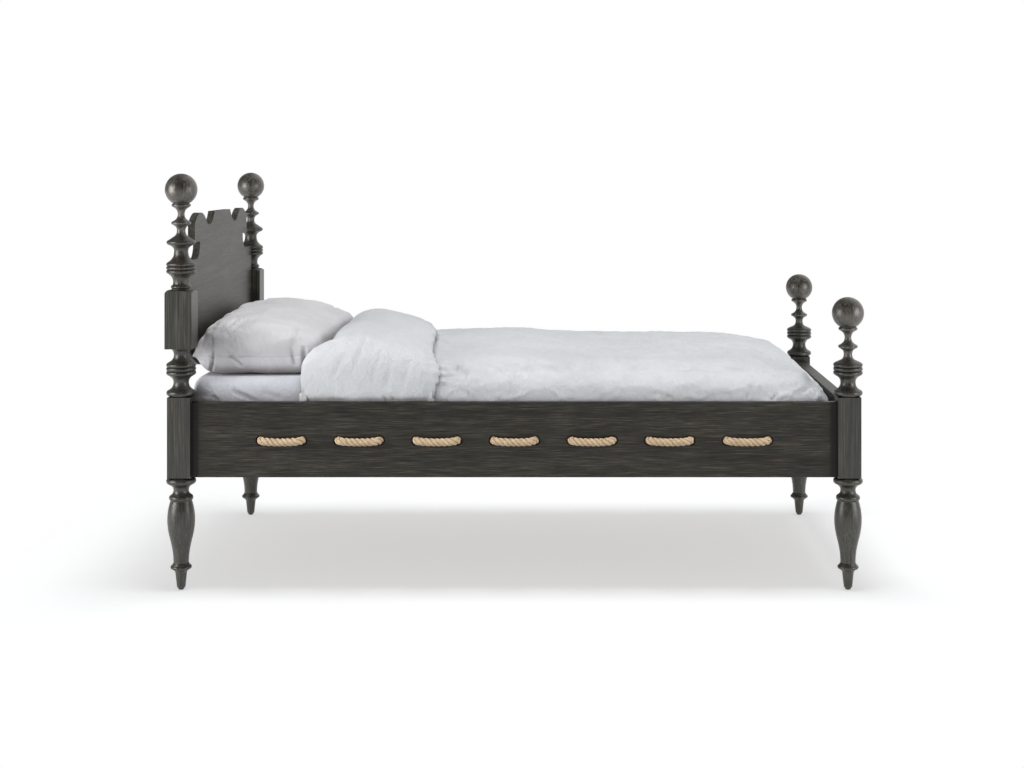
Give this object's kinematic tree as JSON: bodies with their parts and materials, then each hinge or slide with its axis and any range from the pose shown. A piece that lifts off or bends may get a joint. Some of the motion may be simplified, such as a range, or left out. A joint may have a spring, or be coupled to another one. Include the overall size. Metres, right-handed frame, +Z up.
{
  "type": "bed",
  "caption": "Single bed with turned ball-topped posts, a scalloped plank headboard, rope laced through the side rails, and a dressed mattress, pillow and duvet.",
  "frame": {"origin": "on the floor, midway between the four posts", "axes": "+X from head to foot, +Y from the near side rail to the far one, +Z up"},
  "size_m": [2.129, 1.167, 1.2665],
  "materials": {
    "ebonised_wood": "ebonised, wire-brushed, satin lacquer",
    "pine_slats": "planed, unfinished",
    "manila_rope": "three-strand twisted natural fibre",
    "whipping_twine": "waxed twine",
    "zinc_steel": "zinc plated",
    "ticking": "woven ticking",
    "cotton_sheet": "plain cotton percale",
    "pillow_cotton": "plain cotton percale",
    "duvet_cotton": "plain cotton percale"
  },
  "bodies": {
    "frame": {"barrel_nut_foot_far": "zinc_steel", "barrel_nut_foot_near": "zinc_steel", "barrel_nut_head_far": "zinc_steel", "barrel_nut_head_near": "zinc_steel", "bed_bolt_foot_far": "zinc_steel", "bed_bolt_foot_near": "zinc_steel", "bed_bolt_head_far": "zinc_steel", "bed_bolt_head_near": "zinc_steel", "bolt_washer_foot_far": "zinc_steel", "bolt_washer_foot_near": "zinc_steel", "bolt_washer_head_far": "zinc_steel", "bolt_washer_head_near": "zinc_steel", "cleat_far": "pine_slats", "cleat_near": "pine_slats", "cleat_screws_far": "zinc_steel", "cleat_screws_near": "zinc_steel", "foot_finial_far": "ebonised_wood", "foot_finial_near": "ebonised_wood", "foot_post_far": "ebonised_wood", "foot_post_near": "ebonised_wood", "foot_rail": "ebonised_wood", "head_finial_far": "ebonised_wood", "head_finial_near": "ebonised_wood", "head_post_far": "ebonised_wood", "head_post_near": "ebonised_wood", "head_rail": "ebonised_wood", "headboard_plank_lower": "ebonised_wood", "headboard_plank_middle": "ebonised_wood", "headboard_plank_upper": "ebonised_wood", "rope_clip_foot_far": "zinc_steel", "rope_clip_foot_near": "zinc_steel", "rope_clip_head_far": "zinc_steel", "rope_clip_head_near": "zinc_steel", "rope_clip_screws": "zinc_steel", "rope_far": "manila_rope", "rope_near": "manila_rope", "rope_whipping_far": "whipping_twine", "rope_whipping_near": "whipping_twine", "side_rail_far": "ebonised_wood", "side_rail_near": "ebonised_wood", "slat_01": "pine_slats", "slat_02": "pine_slats", "slat_03": "pine_slats", "slat_04": "pine_slats", "slat_05": "pine_slats", "slat_06": "pine_slats", "slat_07": "pine_slats", "slat_08": "pine_slats", "slat_09": "pine_slats", "slat_10": "pine_slats", "slat_11": "pine_slats", "slat_12": "pine_slats", "slat_13": "pine_slats", "slat_screws": "zinc_steel"},
    "bedding": {"mattress": "ticking", "fitted_sheet": "cotton_sheet", "duvet": "duvet_cotton"},
    "pillow": {"pillow": "pillow_cotton"}
  },
  "joints": [
    {"name": "mattress_lift", "type": "slide", "parent": "frame", "child": "bedding", "axis": [0, 0, 1], "range_m": [0, 0.45]},
    {"name": "pillow_lift", "type": "slide", "parent": "bedding", "child": "pillow", "axis": [0, 0, 1], "range_m": [0, 0.35]}
  ]
}
